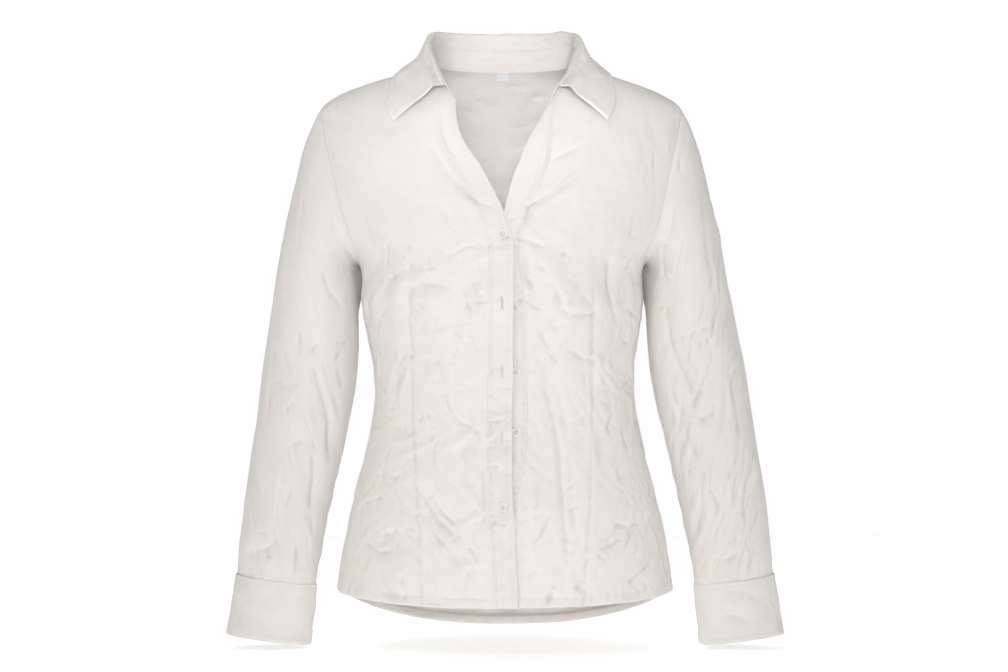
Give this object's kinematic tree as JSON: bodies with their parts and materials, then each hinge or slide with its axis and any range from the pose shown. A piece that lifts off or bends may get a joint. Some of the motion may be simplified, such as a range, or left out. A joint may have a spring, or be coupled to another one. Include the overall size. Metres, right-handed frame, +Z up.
{
  "type": "button-up shirt",
  "caption": "Crumpled fitted button-up shirt with an open collar and long cuffed sleeves, keeping the hollow form of a wearer.",
  "frame": {"origin": "the middle of the base of the neck, where a wearer's neck meets the shoulders", "axes": "+Z up, the shirt's front faces -Y, the wearer's right sleeve is at -X and the left one at +X"},
  "size_m": [0.6098, 0.2439, 0.6764],
  "materials": {
    "linen": "matte",
    "label_tape": "satin",
    "button_shell": "gloss"
  },
  "bodies": {
    "root": {"back": "linen", "front_right": "linen", "front_left": "linen", "band_right": "linen", "band_left": "linen", "sleeve_right": "linen", "sleeve_left": "linen", "cuff_right": "linen", "cuff_left": "linen", "collar_stand": "linen", "collar_leaf": "linen", "neck_label": "label_tape", "button_1": "button_shell", "button_2": "button_shell", "button_3": "button_shell", "button_4": "button_shell", "button_5": "button_shell", "cuff_button_right": "button_shell", "cuff_button_left": "button_shell"}
  },
  "joints": []
}
